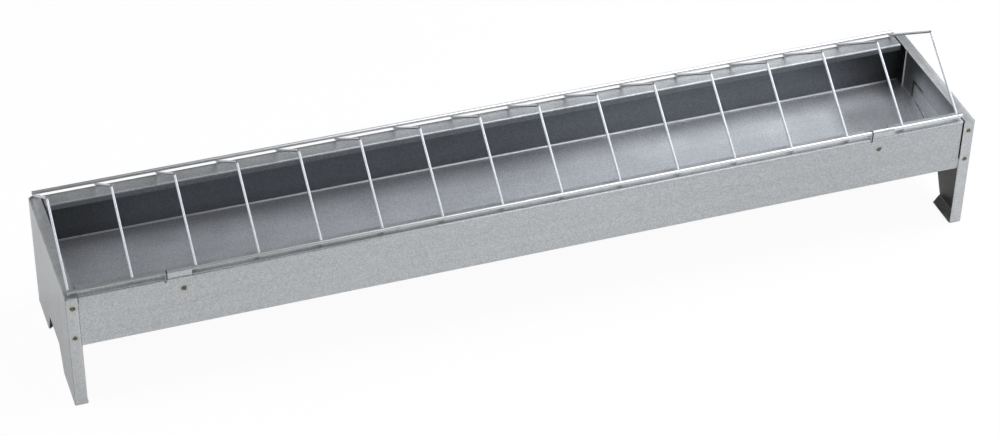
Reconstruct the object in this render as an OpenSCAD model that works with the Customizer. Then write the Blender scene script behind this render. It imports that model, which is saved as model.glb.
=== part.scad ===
// Poultry feed trough of galvanised sheet, with a hinged wire grille.
// Millimetres. The origin is on the ground, under the middle of the trough.
// +X runs along the trough, +Y from its front to its back, +Z up.

/* [Trough] */
// Length over the outer faces of the end plates
trough_l = 1000; // [750:10:1500]
// Depth over the front and rear flanges of the end plates
trough_d = 178; // [150:1:240]
// Height of the rims above the ground
trough_h = 138; // [120:1:200]
// Height of the pan's underside above the ground
pan_z = 75; // [55:1:90]

/* [Pan] */
// Sheet thickness of the pan
pan_t = 0.8; // [0.6:0.1:1.2]
// Inner radius of the pan's folds
pan_fold_r = 1.4; // [0.8:0.1:2.5]
// Width of the inward rims, from the wall's outer face
rim_w = 20; // [14:0.5:28]
// Height of a rim's turned-down edge
rim_turn_h = 7; // [4:0.5:12]
// Gap between a rim's end and the top flange of an end plate
rim_end_gap = 1.5; // [0.5:0.1:4]
// Width of the upturned flap at each end of the floor
end_flap_w = 97; // [60:1:120]
// Height of that flap above the pan's underside
end_flap_h = 20; // [10:1:30]

/* [End plates] */
// Sheet thickness of an end plate
plate_t = 1; // [0.8:0.1:1.5]
// Inner radius of an end plate's folds
plate_fold_r = 1; // [0.6:0.1:2]
// Width of the front and rear flanges
side_flange_w = 13.5; // [10:0.5:20]
// Width of the top flange
top_flange_w = 12.5; // [8:0.5:18]
// Width of the foot flanges
foot_flange_w = 14.5; // [10:0.5:20]
// Width of a leg at the ground
leg_foot_w = 50; // [35:1:62]
// Width of a leg at the top of the arch between the legs
leg_top_w = 65; // [52:1:75]
// Height of the arch between the legs
arch_h = 30.5; // [15:0.5:45]
// Corner radius at the top of the arch
arch_r = 4; // [2:0.5:8]
// How far the free corner of a foot flange is cut back
foot_cut = 10; // [4:0.5:16]
// Slit left where two flanges meet at a corner
corner_slit = 0.2; // [0.1:0.1:0.5]

/* [Spot welds] */
// Diameter of the dented mark that a spot weld leaves in the outer sheet
weld_mark_d = 5; // [4:0.5:7]
// Depth of that mark
weld_mark_depth = 0.2; // [0.1:0.05:0.25]
// Thickness of the scorched skin in the mark
weld_skin = 0.2; // [0.1:0.05:0.25]
// Diameter of the nugget that joins the two sheets
weld_nugget_d = 3.4; // [2.5:0.1:3.8]
// Distance of a corner weld from the end plate's outer face
weld_x = 7; // [6:0.5:9]
// Distance of the upper corner welds below the rims
weld_upper_drop = 12.5; // [8:0.5:18]
// Distance of the lower corner welds above the pan's underside
weld_lower_rise = 12.5; // [8:0.5:18]

/* [Hinge clips] */
// Width of a hinge clip
clip_w = 26; // [16:1:32]
// Sheet thickness of a hinge clip
clip_t = 0.8; // [0.6:0.1:1.2]
// Gap from the left clip to the axis of the third cross wire
left_clip_gap = 6; // [4:0.5:16]
// Gap from the right clip to the axis of the last wire but one
right_clip_gap = 12; // [4:0.5:16]
// How far a clip reaches down behind the front wall
clip_reach = 26; // [20:1:34]
// Radial clearance of the front rod in a clip
clip_clearance = 0.05; // [0.02:0.01:0.1]
// Angle that the curl of a clip turns through
clip_curl = 255; // [200:5:290]
// Distance of a clip's weld below the rims
clip_weld_drop = 14.5; // [10:0.5:18]
// Distance of a clip's weld from the clip's middle, towards the trough's middle
clip_weld_shift = 4; // [-8:0.5:8]
// Width of the open slot beside a clip
clip_slot = 2; // [1:0.25:4]
// How far the slot cuts into the front wall, below the rims
clip_slot_drop = 3.5; // [3:0.25:8]
// Clearance between a clip and the other side of its notch
clip_notch_gap = 0.3; // [0.2:0.1:1]
// Height of the front rod's axis above the rims
hinge_rise = 6; // [5.8:0.1:9]

/* [Grille] */
// Diameter of the two long rods
rod_d = 4; // [3:0.1:5]
// Distance of the rods' left ends from the left end plate's outer face
rod_left_inset = 4; // [2:0.5:15]
// Distance of the rods' right ends from the right end plate's outer face
rod_right_inset = 15; // [2:0.5:25]
// Distance of the first cross wire from the rods' left ends
wire_first = 1.7; // [1.5:0.1:6]
// Distance of the last cross wire from the rods' right ends
wire_last = 4.3; // [1.5:0.1:6]
// Diameter of the cross wires
wire_d = 2.8; // [2:0.1:3.4]
// Height of the wires' peak above the rims
peak_rise = 64; // [40:1:90]
// How far the peak stands in front of the trough's middle line
peak_forward = 3; // [-10:0.5:20]
// Inner radius of the bend at the peak
peak_r = 3; // [2:0.5:10]
// How much a wire swells in the bend, on its radius
peak_swell = 0.02; // [0.01:0.01:0.1]
// How far a wire runs on past the middle of each rod
wire_overrun = 2.5; // [0.5:0.1:3]
// How deep a weld sinks a wire into a rod
weld_sink = 0.4; // [0.2:0.1:0.8]
// Gap between the wires' rear ends and the rear rim
seat_gap = 0.3; // [0.2:0.1:0.6]

/* [Hidden] */
$fn = 48;
// Reach of a cutting shape past the face that it opens
eps = 0.5;

// The end plates stand at the ends of the trough
half_l = trough_l / 2;
half_d = trough_d / 2;
plate_fold_o = plate_fold_r + plate_t;

// The pan lies between the end plates and inside their flanges. Its flaps
// touch the plates, and the rest of it stops where their folds begin
flap_x = half_l - plate_t;
pan_half_l = half_l - plate_fold_o;
pan_half_d = half_d - plate_t;
pan_fold_o = pan_fold_r + pan_t;
wall_in = pan_half_d - pan_t;
fold_start_z = trough_h - pan_fold_o;
rim_half_l = half_l - top_flange_w - rim_end_gap;
weld_upper_z = trough_h - weld_upper_drop;
weld_lower_z = pan_z + weld_lower_rise;

// The front rod turns in the clips, whose strips stand behind the front wall
knuckle_r = rod_d / 2 + clip_clearance;
knuckle_o = knuckle_r + clip_t;
hinge_y = knuckle_o - wall_in;
hinge_z = trough_h + hinge_rise;

// The wires share the rods' length evenly
wire_count = 16;
rod_x = rod_left_inset - half_l;
rod_l = trough_l - rod_left_inset - rod_right_inset;
wire_pitch = (rod_l - wire_first - wire_last) / (wire_count - 1);
wire_r = wire_d / 2;
// Length of each leg that the swollen bend takes in
peak_lap = 0.2;
// Distance between the axes of a rod and of a wire welded under it
weld_offset = rod_d / 2 + wire_r - weld_sink;

// Left edge of each clip, found from the wire to its right
left_clip_x = wire_x(3) - left_clip_gap - clip_w;
right_clip_x = wire_x(wire_count - 1) - right_clip_gap - clip_w;
clip_weld_z = trough_h - clip_weld_drop;

// The rear rod's back is level with the rear flanges, and it stands as high
// as the wires welded under it need to clear the rear rim
peak_y = -peak_forward;
peak_z = trough_h + peak_rise;
rear_rod_y = half_d - rod_d / 2;
rear_rod_z = rear_height(6);
front_slope = leg_slope(peak_y - hinge_y, peak_z - hinge_z);
rear_slope = leg_slope(rear_rod_y - peak_y, peak_z - rear_rod_z);

// Position of a cross wire along the trough, counted from 1
function wire_x(number) = rod_x + wire_first + (number - 1) * wire_pitch;

// Slope of a wire that passes under a rod, from the run and rise to the peak
function leg_slope(run, rise) = atan2(rise, run) + asin(weld_offset / norm([run, rise]));

// Height of the rear rod, closer to its value with each pass
function rear_height(passes) = passes == 0
    ? trough_h + rod_d
    : seat_height(leg_slope(rear_rod_y - peak_y, peak_z - rear_height(passes - 1)));

// Height of the rear rod when its wires come down at the given slope
function seat_height(slope) =
    trough_h + seat_gap + (weld_offset + wire_r) * cos(slope) + wire_overrun * sin(slope);

// Points along an arc, in a plane
function arc_points(centre, r, from, to, steps = 6) = [
    for (i = [0:steps])
        let (turn = from + (to - from) * i / steps) centre + r * [cos(turn), sin(turn)]
];

// Stands a shape drawn in the plane of Y and Z at x, its height along +X
module across(x) {
    translate([x, 0, 0])
        rotate([90, 0, 90])
            children();
}

// A quarter of a rounded fold in the pan's outline, turned to its quarter
module pan_fold(y, z, turn) {
    translate([y, z])
        rotate(turn)
            intersection() {
                difference() {
                    circle(r = pan_fold_o);
                    circle(r = pan_fold_r);
                }
                square(pan_fold_o);
            }
}

// The outline of the folded sheet: floor, walls, rims and turned-down edges
module pan_outline() {
    rim_turn_y = pan_half_d - rim_w;
    translate([pan_fold_o - pan_half_d, pan_z])
        square([2 * (pan_half_d - pan_fold_o), pan_t]);
    for (side = [0, 1])
        mirror([side, 0]) {
            pan_fold(pan_half_d - pan_fold_o, pan_z + pan_fold_o, 270);
            translate([wall_in, pan_z + pan_fold_o])
                square([pan_t, fold_start_z - pan_z - pan_fold_o]);
            pan_fold(pan_half_d - pan_fold_o, fold_start_z, 0);
            translate([rim_turn_y + pan_fold_o, trough_h - pan_t])
                square([rim_w - 2 * pan_fold_o, pan_t]);
            pan_fold(rim_turn_y + pan_fold_o, fold_start_z, 90);
            translate([rim_turn_y, trough_h - rim_turn_h])
                square([pan_t, rim_turn_h - pan_fold_o]);
        }
}

// Cuts the rims away between an end plate and the rims' ends
module rim_end_cut() {
    translate([rim_half_l, -half_d, fold_start_z])
        cube([half_l - rim_half_l, trough_d, pan_fold_o + eps]);
    translate([rim_half_l, -wall_in, trough_h - rim_turn_h - eps])
        cube([half_l - rim_half_l, 2 * wall_in, rim_turn_h + eps]);
}

// Cuts the notch for a clip through the front rim and the slot beside it
module clip_notch(x) {
    notch_w = clip_slot + clip_w + clip_notch_gap;
    translate([x - clip_slot, -wall_in, trough_h - rim_turn_h - eps])
        cube([notch_w, rim_w, rim_turn_h + 2 * eps]);
    translate([x - clip_slot, -pan_half_d - eps, fold_start_z])
        cube([notch_w, pan_t + 2 * eps, pan_fold_o + eps]);
    translate([x - clip_slot, -pan_half_d - eps, trough_h - clip_slot_drop])
        cube([clip_slot, pan_t + 2 * eps, clip_slot_drop + eps]);
}

// Cuts the end of the floor away where the flap's fold takes over
module floor_end_cut() {
    translate([flap_x - pan_fold_o, -end_flap_w / 2, pan_z - eps])
        cube([pan_fold_o + eps, end_flap_w, pan_t + 2 * eps]);
}

// The flap turned up from the right end of the floor
module end_flap() {
    translate([flap_x - pan_fold_o, end_flap_w / 2, pan_z + pan_fold_o])
        rotate([90, 0, 0])
            rotate([0, 0, 270])
                rotate_extrude(angle = 90)
                    translate([pan_fold_r, 0])
                        square([pan_t, end_flap_w]);
    translate([flap_x - pan_t, -end_flap_w / 2, pan_z + pan_fold_o])
        cube([pan_t, end_flap_w, end_flap_h - pan_fold_o]);
}

// The upright wall in front of a clip, between its slot and its notch's end
module clip_wall(x) {
    translate([x, -pan_half_d, fold_start_z - eps])
        cube([clip_w, pan_t, pan_fold_o]);
}

// A spot weld along Y through two sheets of the given total thickness: the
// skin in its mark, and the nugget. Grown past both ends, it is its own hole
module weld(x, z, sheet_y, sheets_t, grown) {
    skin_y = grown ? -eps : weld_mark_depth;
    translate([x, sheet_y, z])
        rotate([-90, 0, 0]) {
            translate([0, 0, skin_y])
                cylinder(d = weld_mark_d, h = weld_mark_depth + weld_skin - skin_y);
            translate([0, 0, weld_mark_depth])
                cylinder(d = weld_nugget_d, h = sheets_t - weld_mark_depth + (grown ? eps : 0));
        }
}

// The welds of the front left corner, through the flange and the pan's wall
module corner_welds(grown) {
    for (z = [weld_lower_z, weld_upper_z])
        weld(weld_x - half_l, z, -half_d, plate_t + pan_t, grown);
}

// The holes for the welds of all four corners
module corner_weld_holes() {
    for (end = [0, 1], side = [0, 1])
        mirror([end, 0, 0])
            mirror([0, side, 0])
                corner_welds(true);
}

// The welds of both clips, through the front wall and the clips' strips
module clip_welds(grown) {
    weld(left_clip_x + clip_w / 2 + clip_weld_shift, clip_weld_z, -pan_half_d, pan_t + clip_t, grown);
    weld(right_clip_x + clip_w / 2 - clip_weld_shift, clip_weld_z, -pan_half_d, pan_t + clip_t, grown);
}

// The pan: one sheet, with a flap turned up at each end of its floor
module trough_pan() {
    color("#9a9ea3")
        difference() {
            union() {
                difference() {
                    across(-pan_half_l)
                        linear_extrude(2 * pan_half_l)
                            pan_outline();
                    for (end = [0, 1])
                        mirror([end, 0, 0]) {
                            rim_end_cut();
                            floor_end_cut();
                        }
                    clip_notch(left_clip_x);
                    clip_notch(right_clip_x);
                }
                clip_wall(left_clip_x);
                clip_wall(right_clip_x);
                for (end = [0, 1])
                    mirror([end, 0, 0])
                        end_flap();
            }
            corner_weld_holes();
            clip_welds(true);
        }
}

// A quarter-round fold of an end plate, turned to its quarter, along +Z
module plate_fold(turn, length) {
    rotate([0, 0, turn])
        rotate_extrude(angle = 90)
            translate([plate_fold_r, 0])
                square([plate_t, length]);
}

// The arch between the legs, open at the ground, in the plane of Y and Z
module arch() {
    foot_y = half_d - leg_foot_w;
    lean = leg_top_w - leg_foot_w;
    slope = atan2(lean, arch_h);
    corner = [
        foot_y - lean * (arch_h - arch_r) / arch_h - arch_r / cos(slope),
        arch_h - arch_r
    ];
    ground_y = foot_y + lean * eps / arch_h;
    right_side = concat([[ground_y, -eps]], arc_points(corner, arch_r, slope, 90));
    left_side = [for (i = [len(right_side) - 1:-1:0]) [-right_side[i][0], right_side[i][1]]];
    polygon(concat(right_side, left_side));
}

// The flat of an end plate inside its folds, with the arch cut out
module plate_face() {
    across(0)
        linear_extrude(plate_t)
            difference() {
                translate([plate_fold_o - half_d, plate_fold_o])
                    square([trough_d - 2 * plate_fold_o, trough_h - 2 * plate_fold_o]);
                arch();
            }
}

// The front flange, from the ground to just under the top flange
module side_flange() {
    flange_h = trough_h - plate_t - corner_slit;
    translate([plate_fold_o, plate_fold_o - half_d, 0])
        plate_fold(180, flange_h);
    translate([plate_fold_o, -half_d, 0])
        cube([side_flange_w - plate_fold_o, plate_t, flange_h]);
}

// The top flange, turned in over the ends of the pan's walls
module top_flange() {
    translate([plate_fold_o, half_d - plate_fold_o, trough_h - plate_fold_o])
        rotate([90, 0, 0])
            plate_fold(90, trough_d - 2 * plate_fold_o);
    translate([plate_fold_o, -half_d, trough_h - plate_t])
        cube([top_flange_w - plate_fold_o, trough_d, plate_t]);
}

// A foot flange, turned in under the front leg, with its free corner cut back
module foot_flange() {
    near_y = plate_t + corner_slit - half_d;
    leg_y = leg_foot_w - half_d;
    translate([plate_fold_o, leg_y, plate_fold_o])
        rotate([90, 0, 0])
            plate_fold(180, leg_y - near_y);
    linear_extrude(plate_t)
        polygon([
            [plate_fold_o, near_y],
            [foot_flange_w, near_y],
            [foot_flange_w, leg_y - foot_cut],
            [plate_fold_o, leg_y]
        ]);
}

// An end plate with its outer face on the plane of Y and Z, its flanges at +X
module end_plate() {
    difference() {
        union() {
            plate_face();
            top_flange();
            for (side = [0, 1])
                mirror([0, side, 0]) {
                    side_flange();
                    foot_flange();
                }
        }
        translate([half_l, 0, 0])
            corner_weld_holes();
    }
}

module left_end_plate() {
    color("#aaadb0")
        translate([-half_l, 0, 0])
            end_plate();
}

module right_end_plate() {
    color("#aaadb0")
        rotate([0, 0, 180])
            translate([-half_l, 0, 0])
                end_plate();
}

// The outline of a clip: a strip behind the wall, and the front, top, back
// and underside of the curl, open where the strip would meet it again
module clip_outline() {
    mouth = 360 - clip_curl;
    reach = 2 * knuckle_o;
    translate([hinge_y, hinge_z])
        difference() {
            circle(r = knuckle_o);
            circle(r = knuckle_r);
            polygon([[0, 0], [-reach, 0], [-reach, -reach], reach * [-cos(mouth), -sin(mouth)]]);
        }
    translate([-wall_in, trough_h - clip_reach])
        square([clip_t, clip_reach + hinge_rise]);
}

// A hinge clip: a strip behind the wall that curls back over the front rod
module hinge_clip(x) {
    color("#b4b7ba")
        difference() {
            across(x)
                linear_extrude(clip_w)
                    clip_outline();
            clip_welds(true);
        }
}

module left_hinge_clip() {
    hinge_clip(left_clip_x);
}

module right_hinge_clip() {
    hinge_clip(right_clip_x);
}

// The two spot welds of one corner, turned to their corner
module weld_pair(end, side) {
    color("#5c574a")
        mirror([end, 0, 0])
            mirror([0, side, 0])
                corner_welds(false);
}

module front_left_welds() {
    weld_pair(0, 0);
}

module front_right_welds() {
    weld_pair(1, 0);
}

module rear_left_welds() {
    weld_pair(0, 1);
}

module rear_right_welds() {
    weld_pair(1, 1);
}

// The spot weld of each hinge clip
module hinge_clip_welds() {
    color("#5c574a")
        clip_welds(false);
}

// A long rod of the grille
module grille_rod(y, z) {
    color("#c3c6c8")
        translate([rod_x, y, z])
            rotate([0, 90, 0])
                cylinder(d = rod_d, h = rod_l);
}

module grille_front_rod() {
    grille_rod(hinge_y, hinge_z);
}

module grille_rear_rod() {
    grille_rod(rear_rod_y, rear_rod_z);
}

// One straight leg of a cross wire, drawn from the start of the peak's bend
// down to its tip, in a plane whose first axis points from the rod to the peak
module wire_leg(run, rise, slope, bend_length) {
    leg_l = norm([run, rise]) * cos(slope - atan2(rise, run)) + wire_overrun - bend_length;
    rotate([0, 0, 180 + slope])
        translate([bend_length - peak_lap, 0, 0])
            rotate([0, 90, 0])
                cylinder(d = wire_d, h = leg_l + peak_lap);
}

// A gable-shaped cross wire, welded under both rods
module grille_wire(number) {
    turn = front_slope + rear_slope;
    bend_r = peak_r + wire_r;
    bend_l = bend_r * tan(turn / 2);
    drop = bend_r / cos(turn / 2);
    lean = (front_slope - rear_slope) / 2;
    color("#d2d5d8")
        across(wire_x(number))
            translate([peak_y, peak_z, 0]) {
                wire_leg(peak_y - hinge_y, peak_z - hinge_z, front_slope, bend_l);
                mirror([1, 0, 0])
                    wire_leg(rear_rod_y - peak_y, peak_z - rear_rod_z, rear_slope, bend_l);
                translate([drop * sin(lean), -drop * cos(lean), 0])
                    rotate([0, 0, 90 - rear_slope])
                        rotate_extrude(angle = turn)
                            translate([bend_r, 0])
                                circle(r = wire_r + peak_swell);
            }
}

trough_pan();
left_end_plate();
right_end_plate();
left_hinge_clip();
right_hinge_clip();
front_left_welds();
front_right_welds();
rear_left_welds();
rear_right_welds();
hinge_clip_welds();
grille_front_rod();
grille_rear_rod();
grille_wire(1);  // grille_wire_01
grille_wire(2);  // grille_wire_02
grille_wire(3);  // grille_wire_03
grille_wire(4);  // grille_wire_04
grille_wire(5);  // grille_wire_05
grille_wire(6);  // grille_wire_06
grille_wire(7);  // grille_wire_07
grille_wire(8);  // grille_wire_08
grille_wire(9);  // grille_wire_09
grille_wire(10);  // grille_wire_10
grille_wire(11);  // grille_wire_11
grille_wire(12);  // grille_wire_12
grille_wire(13);  // grille_wire_13
grille_wire(14);  // grille_wire_14
grille_wire(15);  // grille_wire_15
grille_wire(16);  // grille_wire_16
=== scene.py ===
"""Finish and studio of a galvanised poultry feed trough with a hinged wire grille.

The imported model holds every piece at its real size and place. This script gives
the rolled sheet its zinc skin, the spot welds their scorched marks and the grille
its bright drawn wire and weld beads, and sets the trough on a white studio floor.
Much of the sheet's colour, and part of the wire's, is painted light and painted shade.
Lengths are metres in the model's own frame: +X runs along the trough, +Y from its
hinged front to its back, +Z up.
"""

import logging
import math
from collections.abc import Callable
from dataclasses import dataclass, field
from enum import Enum

import bmesh
import bpy
from mathutils import Matrix, Vector


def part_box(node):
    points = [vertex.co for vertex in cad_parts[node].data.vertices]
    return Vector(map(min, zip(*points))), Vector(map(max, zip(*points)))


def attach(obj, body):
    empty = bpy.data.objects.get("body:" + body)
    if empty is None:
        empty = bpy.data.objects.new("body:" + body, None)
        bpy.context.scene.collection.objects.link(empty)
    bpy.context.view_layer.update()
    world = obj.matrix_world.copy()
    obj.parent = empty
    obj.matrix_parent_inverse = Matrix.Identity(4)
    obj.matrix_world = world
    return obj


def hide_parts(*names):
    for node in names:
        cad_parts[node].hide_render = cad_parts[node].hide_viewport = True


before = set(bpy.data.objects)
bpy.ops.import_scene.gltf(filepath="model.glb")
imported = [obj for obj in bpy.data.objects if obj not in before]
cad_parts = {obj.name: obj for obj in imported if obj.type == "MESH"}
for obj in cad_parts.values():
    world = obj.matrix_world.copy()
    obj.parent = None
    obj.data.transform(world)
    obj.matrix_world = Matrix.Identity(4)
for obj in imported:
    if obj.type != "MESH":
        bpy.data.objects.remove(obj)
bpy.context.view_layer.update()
LOG = logging.getLogger("feed_trough")

Colour = tuple[float, float, float]
Point = tuple[float, float, float]
Pair = tuple[float, float]
Feeds = dict[int | str, object]

MM = 0.001
# How far a region reaches past the face that it colours, and how wide its border usually is.
SKIN = 0.1 * MM
BORDER = 0.3 * MM
SIDES = (-1.0, 1.0)
NO_VECTOR = (0.0, 0.0, 0.0)
WHITE = (1.0, 1.0, 1.0)
SOCKETS = {
    int: "NodeSocketInt",
    float: "NodeSocketFloat",
    tuple: "NodeSocketVector",
    bpy.types.Material: "NodeSocketMaterial",
}


class Body(str, Enum):
    """The two bodies that the pieces ride on."""

    TROUGH = "trough"
    GRILLE = "grille"


class Rolling(Enum):
    """Which way the rolling lines of a sheet run: along the trough, or up and down."""

    ALONG_TROUGH = "X"
    UPRIGHT = "Z"

    def turn(self) -> Point:
        """Returns the turn, in radians, that brings a pattern drawn along X into this direction."""
        return (0.0, math.radians(90.0), 0.0) if self is Rolling.UPRIGHT else NO_VECTOR


class Graph:
    """A node tree that is wired up from left to right."""

    spacing = 190.0
    plain_sums = ("LENGTH", "DOT_PRODUCT")

    def __init__(self, tree: bpy.types.NodeTree) -> None:
        """Takes over a node tree, which may be a material's, a world's or a group's."""
        self.tree = tree

    def node(self, kind: str, feeds: Feeds | None = None, **settings: object) -> bpy.types.Node:
        """Adds one node.

        Args:
            kind: The node's type, such as ShaderNodeMath.
            feeds: Outputs or plain values for its inputs, by number or name.
            settings: The node's own properties.

        Returns:
            The new node, placed to the right of the last one.
        """
        made = self.tree.nodes.new(kind)
        made.location = (self.spacing * len(self.tree.nodes), 0.0)
        for name, value in settings.items():
            setattr(made, name, value)
        self.feed(made, feeds or {})
        return made

    def feed(self, node: bpy.types.Node, feeds: Feeds) -> None:
        """Links outputs to a node's inputs, or sets the inputs to plain values.

        Args:
            node: The node.
            feeds: Output sockets, numbers or tuples of numbers, by the input's number or name.
        """
        for key, value in feeds.items():
            if isinstance(value, bpy.types.NodeSocket):
                self.tree.links.new(value, node.inputs[key])
            else:
                node.inputs[key].default_value = value

    def math(self, operation: str, a: object, b: object = 0.0, clamp: bool = False) -> bpy.types.NodeSocket:
        """Returns the result of a Math node on two values, which clamp keeps between 0 and 1."""
        return self.node("ShaderNodeMath", {0: a, 1: b}, operation=operation, use_clamp=clamp).outputs[0]

    def plus(self, total: object, part: object, share: object, clamp: bool = False) -> bpy.types.NodeSocket:
        """Returns a total plus a share of another value."""
        return self.math("ADD", total, self.math("MULTIPLY", part, share), clamp)

    def vector(self, operation: str, a: object, b: object = NO_VECTOR) -> bpy.types.NodeSocket:
        """Returns the result of a Vector Math node on two vectors."""
        made = self.node("ShaderNodeVectorMath", {0: a, 1: b}, operation=operation)
        return made.outputs["Value" if operation in self.plain_sums else "Vector"]

    def scale(self, a: object, by: object) -> bpy.types.NodeSocket:
        """Returns a vector or colour times a value."""
        return self.node("ShaderNodeVectorMath", {0: a, "Scale": by}, operation="SCALE").outputs["Vector"]

    def noise(self, vector: object, scale: object, detail: float = 2.0,
              roughness: float = 0.5) -> bpy.types.NodeSocket:
        """Draws soft noise.

        Args:
            vector: The coordinates.
            scale: How many lumps there are to a metre.
            detail: How many finer layers there are.
            roughness: How strong they are.

        Returns:
            The noise, which sways round 0.
        """
        made = self.node("ShaderNodeTexNoise", {
            "Vector": vector, "Scale": scale, "Detail": detail, "Roughness": roughness})
        return self.math("SUBTRACT", made.outputs[0], 0.5)

    def ramp(self, value: object, low: object, high: object) -> bpy.types.NodeSocket:
        """Rises smoothly from 0 to 1 as a value goes from low to high.

        Args:
            value: The value or output that is followed.
            low: Where the rise starts.
            high: Where the rise ends, which may be below low.

        Returns:
            The result's socket.
        """
        made = self.node("ShaderNodeMapRange", {"Value": value, "From Min": low, "From Max": high},
                         interpolation_type="SMOOTHSTEP", clamp=True)
        return made.outputs["Result"]

    def tint(self, factor: object, a: object, b: object) -> bpy.types.NodeSocket:
        """Returns the mix of two colours, with as much of b as the factor says, from 0 to 1."""
        made = self.node("ShaderNodeMix", {0: factor, 6: a, 7: b}, data_type="RGBA", clamp_factor=True)
        return made.outputs[2]

    def place(self, group: bpy.types.NodeTree, **values: object) -> bpy.types.NodeOutputs:
        """Places a shader group with its own values.

        Args:
            group: The group's tree.
            values: Its inputs by name, with underscores for spaces.

        Returns:
            The group's outputs, by name.
        """
        feeds = {name.replace("_", " "): value for name, value in values.items()}
        return self.node("ShaderNodeGroup", feeds, node_tree=group).outputs


def rgba(colour: Colour) -> tuple[float, float, float, float]:
    """Returns a colour with full alpha, as a colour socket takes it."""
    return (*colour, 1.0)


class ShaderGroup:
    """A shader effect with named inputs and outputs, built once and shared."""

    name = ""
    inputs: dict[str, object] = {}
    outputs: tuple[str, ...] = ()
    output_kind = "NodeSocketFloat"

    @classmethod
    def tree(cls) -> bpy.types.NodeTree:
        """Builds the group on first use.

        Returns:
            The group's tree.
        """
        known = bpy.data.node_groups.get(cls.name)
        if known is not None:
            return known
        tree = bpy.data.node_groups.new(cls.name, "ShaderNodeTree")
        for name, value in cls.inputs.items():
            socket = tree.interface.new_socket(name, in_out="INPUT", socket_type=SOCKETS[type(value)])
            socket.default_value = value
        for name in cls.outputs:
            tree.interface.new_socket(name, in_out="OUTPUT", socket_type=cls.output_kind)
        graph = Graph(tree)
        given = graph.node("NodeGroupInput").outputs
        graph.node("NodeGroupOutput", cls.draw(graph, given))
        return tree

    @classmethod
    def draw(cls, graph: Graph, given: bpy.types.NodeOutputs) -> dict[str, object]:
        """Wires the effect.

        Args:
            graph: The group's graph.
            given: The group's inputs, by name.

        Returns:
            The outputs, by name.
        """
        raise NotImplementedError


class ZincGrain(ShaderGroup):
    """The fine crystals of hot-dip zinc: each one a little lighter or darker."""

    name = "zinc_grain"
    inputs = {"Vector": NO_VECTOR, "Crystal": 2.2 * MM, "Depth": 0.004 * MM}
    outputs = ("Tone", "Height")
    blur = 0.35
    dust_count = 1.7
    dust_share = 1.6

    @classmethod
    def draw(cls, graph: Graph, given: bpy.types.NodeOutputs) -> dict[str, object]:
        """Wires random tones per crystal, broken up by finer noise.

        Args:
            graph: The group's graph.
            given: The group's inputs, by name.

        Returns:
            The tone, which sways round 0, and the height in metres.
        """
        per_metre = graph.math("DIVIDE", 1.0, given["Crystal"])
        crystals = graph.node("ShaderNodeTexVoronoi", {
            "Vector": given["Vector"], "Scale": per_metre, "Smoothness": cls.blur}, feature="SMOOTH_F1")
        cell = graph.node("ShaderNodeSeparateColor", {"Color": crystals.outputs["Color"]}).outputs[0]
        dust = graph.noise(given["Vector"], graph.math("MULTIPLY", per_metre, cls.dust_count),
                           detail=3.0, roughness=0.6)
        tone = graph.plus(graph.math("SUBTRACT", cell, 0.5), dust, cls.dust_share)
        return {"Tone": tone, "Height": graph.math("MULTIPLY", tone, given["Depth"])}


class RollingLines(ShaderGroup):
    """The lines that the mill's rolls leave along a sheet or that a die leaves along a wire."""

    name = "rolling_lines"
    inputs = {"Vector": NO_VECTOR, "Pitch": 0.8 * MM, "Depth": 0.008 * MM}
    outputs = ("Tone", "Height")
    drawn_out = (1.0 / 30.0, 1.0, 1.0)

    @classmethod
    def draw(cls, graph: Graph, given: bpy.types.NodeOutputs) -> dict[str, object]:
        """Wires noise that is drawn out along X.

        Args:
            graph: The group's graph.
            given: The group's inputs, by name.

        Returns:
            The tone, which sways round 0, and the height in metres.
        """
        drawn = graph.vector("MULTIPLY", given["Vector"], cls.drawn_out)
        tone = graph.noise(drawn, graph.math("DIVIDE", 1.0, given["Pitch"]), roughness=0.55)
        return {"Tone": tone, "Height": graph.math("MULTIPLY", tone, given["Depth"])}


class Handling(ShaderGroup):
    """Broad dull patches and shallow waves, from storing and handling thin sheet."""

    name = "handling"
    inputs = {"Vector": NO_VECTOR, "Patch": 60.0 * MM, "Wave": 0.1 * MM}
    outputs = ("Tone", "Height")
    drawn_out = (0.5, 1.0, 1.0)
    tones_per_patch = 2.0

    @classmethod
    def draw(cls, graph: Graph, given: bpy.types.NodeOutputs) -> dict[str, object]:
        """Wires two sizes of soft noise, the smaller for tone and the larger for waves.

        Args:
            graph: The group's graph.
            given: The group's inputs, by name.

        Returns:
            The tone, which sways round 0, and the height in metres.
        """
        per_metre = graph.math("DIVIDE", 1.0, given["Patch"])
        tones = graph.math("MULTIPLY", per_metre, cls.tones_per_patch)
        tone = graph.noise(given["Vector"], tones, detail=4.0)
        wave = graph.noise(graph.vector("MULTIPLY", given["Vector"], cls.drawn_out), per_metre, detail=1.0)
        return {"Tone": tone, "Height": graph.math("MULTIPLY", wave, given["Wave"])}


class EdgeWear(ShaderGroup):
    """Where a sheet's folds and cut edges have been rubbed bright."""

    name = "edge_wear"
    inputs = {"Vector": NO_VECTOR, "Reach": 0.6 * MM}
    outputs = ("Mask",)
    bent = (0.995, 0.85)
    chipped = (-0.2, 0.1)
    chips_per_metre = 1.0 / (4.0 * MM)

    @classmethod
    def draw(cls, graph: Graph, given: bpy.types.NodeOutputs) -> dict[str, object]:
        """Compares the true normal with a rounded one, and breaks the result up with noise.

        Args:
            graph: The group's graph.
            given: The group's inputs, by name.

        Returns:
            The mask.
        """
        rounded = graph.node("ShaderNodeBevel", {"Radius": given["Reach"]}, samples=4).outputs["Normal"]
        true_normal = graph.node("ShaderNodeNewGeometry").outputs["Normal"]
        edge = graph.ramp(graph.vector("DOT_PRODUCT", rounded, true_normal), *cls.bent)
        chips = graph.ramp(graph.noise(given["Vector"], cls.chips_per_metre), *cls.chipped)
        return {"Mask": graph.math("MULTIPLY", edge, chips)}


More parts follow.
